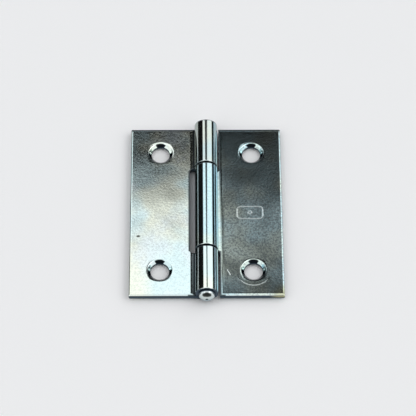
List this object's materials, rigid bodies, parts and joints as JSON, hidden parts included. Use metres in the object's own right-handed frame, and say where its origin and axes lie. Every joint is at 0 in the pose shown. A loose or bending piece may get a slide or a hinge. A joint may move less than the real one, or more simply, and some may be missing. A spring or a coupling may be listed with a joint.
{
  "type": "butt hinge",
  "caption": "Rectangular pressed-steel butt hinge: flat countersunk leaves rolled into interlocking knuckles on a riveted pin, zinc plated.",
  "frame": {"origin": "under the middle of the pin, level with the lowest line of the barrel, which is what the open hinge lies on", "axes": "+Y along the pin towards the knuckle that stands proud of its leaf, +Z on the countersunk side, +X from the pin towards the one-knuckle leaf"},
  "size_m": [0.0384, 0.0532, 0.0057],
  "materials": {
    "fixed_leaf_zinc": "bright zinc plate with a clear blue-green passivate",
    "swing_leaf_zinc": "bright zinc plate with a clear blue-green passivate, a little duller",
    "pin_zinc": "bright zinc plate over a riveted steel pin"
  },
  "bodies": {
    "fixed_leaf": {"leaf_two_knuckle": "fixed_leaf_zinc", "hinge_pin": "pin_zinc"},
    "swing_leaf": {"leaf_one_knuckle": "swing_leaf_zinc"}
  },
  "joints": [
    {"name": "leaf_swing", "type": "hinge", "parent": "fixed_leaf", "child": "swing_leaf", "pos_m": [0, 0, 0.00285], "axis": [0, -1, 0], "range_deg": [-105, 184.5]}
  ]
}
